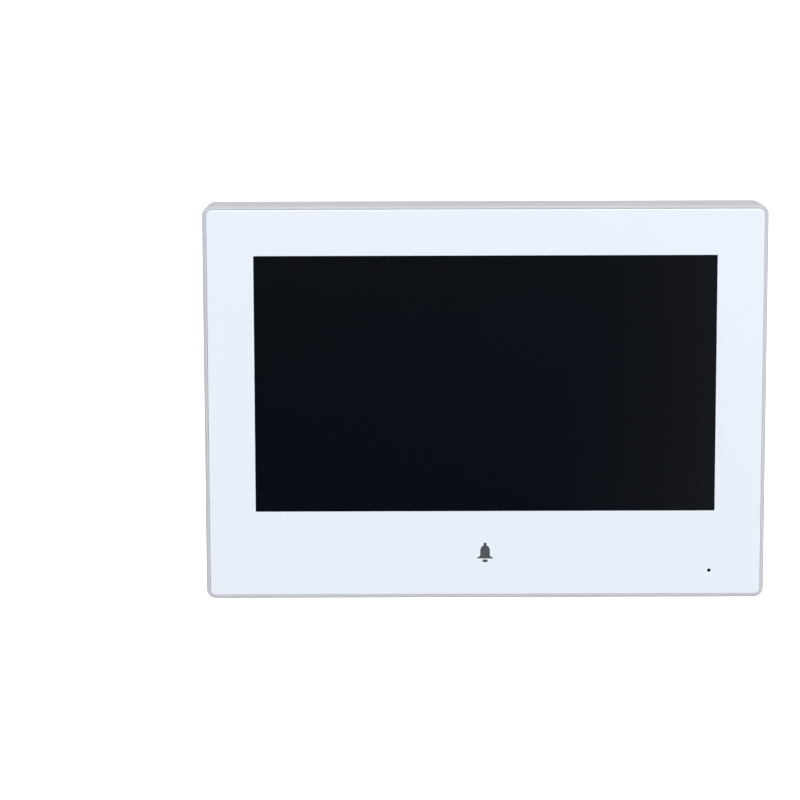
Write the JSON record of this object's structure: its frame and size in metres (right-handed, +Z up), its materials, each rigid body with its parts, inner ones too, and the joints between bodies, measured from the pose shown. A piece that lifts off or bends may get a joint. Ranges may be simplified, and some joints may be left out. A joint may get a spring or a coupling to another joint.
{
  "type": "video intercom monitor",
  "caption": "Slim wall-mounted indoor video intercom monitor with a flat glossy white front, dark screen window, microphone hole, two-part case and hook-on steel bracket.",
  "frame": {"origin": "on the back of the wall bracket, on the vertical centre line, level with the middle of the monitor's height; the wall is the plane Y = 0", "axes": "+X to the right seen from the front, +Y into the wall, +Z up; the front faces -Y"},
  "size_m": [0.189, 0.026, 0.1334],
  "materials": {
    "panel_white": "printed white behind clear glass, high gloss",
    "case_white": "moulded white plastic, fine satin texture",
    "screen_glass": "dark polished glass, unlit",
    "foam_black": "closed-cell foam",
    "black_plastic": "moulded black plastic",
    "boot_rubber": "soft moulded rubber",
    "pale_nylon": "moulded natural nylon",
    "screw_steel": "nickel-plated steel",
    "zinc_plate": "zinc-plated sheet steel",
    "board_green": "fibreglass board with green solder mask",
    "chip_black": "moulded epoxy",
    "ribbon_amber": "polyimide film over copper",
    "cone_paper": "pressed paper"
  },
  "bodies": {
    "bracket": {"wall_bracket": "zinc_plate"},
    "monitor": {"rear_cover": "case_white", "front_frame": "case_white", "front_panel": "panel_white", "panel_tape": "foam_black", "touch_sensor": "screen_glass", "display_seal": "foam_black", "lcd_panel": "screen_glass", "backlight_tray": "screw_steel", "display_strap_left": "zinc_plate", "display_strap_right": "zinc_plate", "display_ribbon": "ribbon_amber", "display_connector": "pale_nylon", "main_board": "board_green", "processor_shield": "zinc_plate", "processor": "chip_black", "memory_chip": "chip_black", "video_decoder": "chip_black", "audio_amplifier": "chip_black", "power_coil": "chip_black", "capacitor_1": "screw_steel", "capacitor_2": "screw_steel", "door_socket_1": "pale_nylon", "door_socket_2": "pale_nylon", "extension_socket": "pale_nylon", "power_socket": "pale_nylon", "selector_block": "black_plastic", "reset_switch": "screw_steel", "microphone": "screw_steel", "microphone_boot": "boot_rubber", "speaker_seal": "foam_black", "speaker_basket": "black_plastic", "speaker_magnet": "screw_steel", "board_screw_1": "screw_steel", "case_screw_1": "screw_steel", "board_screw_2": "screw_steel", "case_screw_2": "screw_steel", "board_screw_3": "screw_steel", "case_screw_3": "screw_steel", "board_screw_4": "screw_steel", "case_screw_4": "screw_steel", "speaker_screw_1": "screw_steel", "speaker_screw_2": "screw_steel", "strap_screw_left_top": "screw_steel", "strap_screw_left_bottom": "screw_steel", "strap_screw_right_top": "screw_steel", "strap_screw_right_bottom": "screw_steel"},
    "selector_1": {"selector_slider_1": "pale_nylon"},
    "selector_2": {"selector_slider_2": "pale_nylon"},
    "reset_key": {"reset_key": "black_plastic"},
    "speaker_cone": {"speaker_cone": "cone_paper"}
  },
  "joints": [
    {"name": "lift_off", "type": "slide", "parent": "bracket", "child": "monitor", "axis": [0, 0, 1], "range_m": [0, 0.007]},
    {"name": "reset_press", "type": "slide", "parent": "monitor", "child": "reset_key", "axis": [0, -1, 0], "range_m": [0, 0.0004], "stiffness_N_per_m": 2000},
    {"name": "selector_1_slide", "type": "slide", "parent": "monitor", "child": "selector_1", "axis": [0, 0, 1], "range_m": [0, 0.002]},
    {"name": "selector_2_slide", "type": "slide", "parent": "monitor", "child": "selector_2", "axis": [0, 0, 1], "range_m": [0, 0.002]},
    {"name": "cone_travel", "type": "slide", "parent": "monitor", "child": "speaker_cone", "axis": [0, 1, 0], "range_m": [-0.0005, 0.0005], "stiffness_N_per_m": 1500}
  ]
}
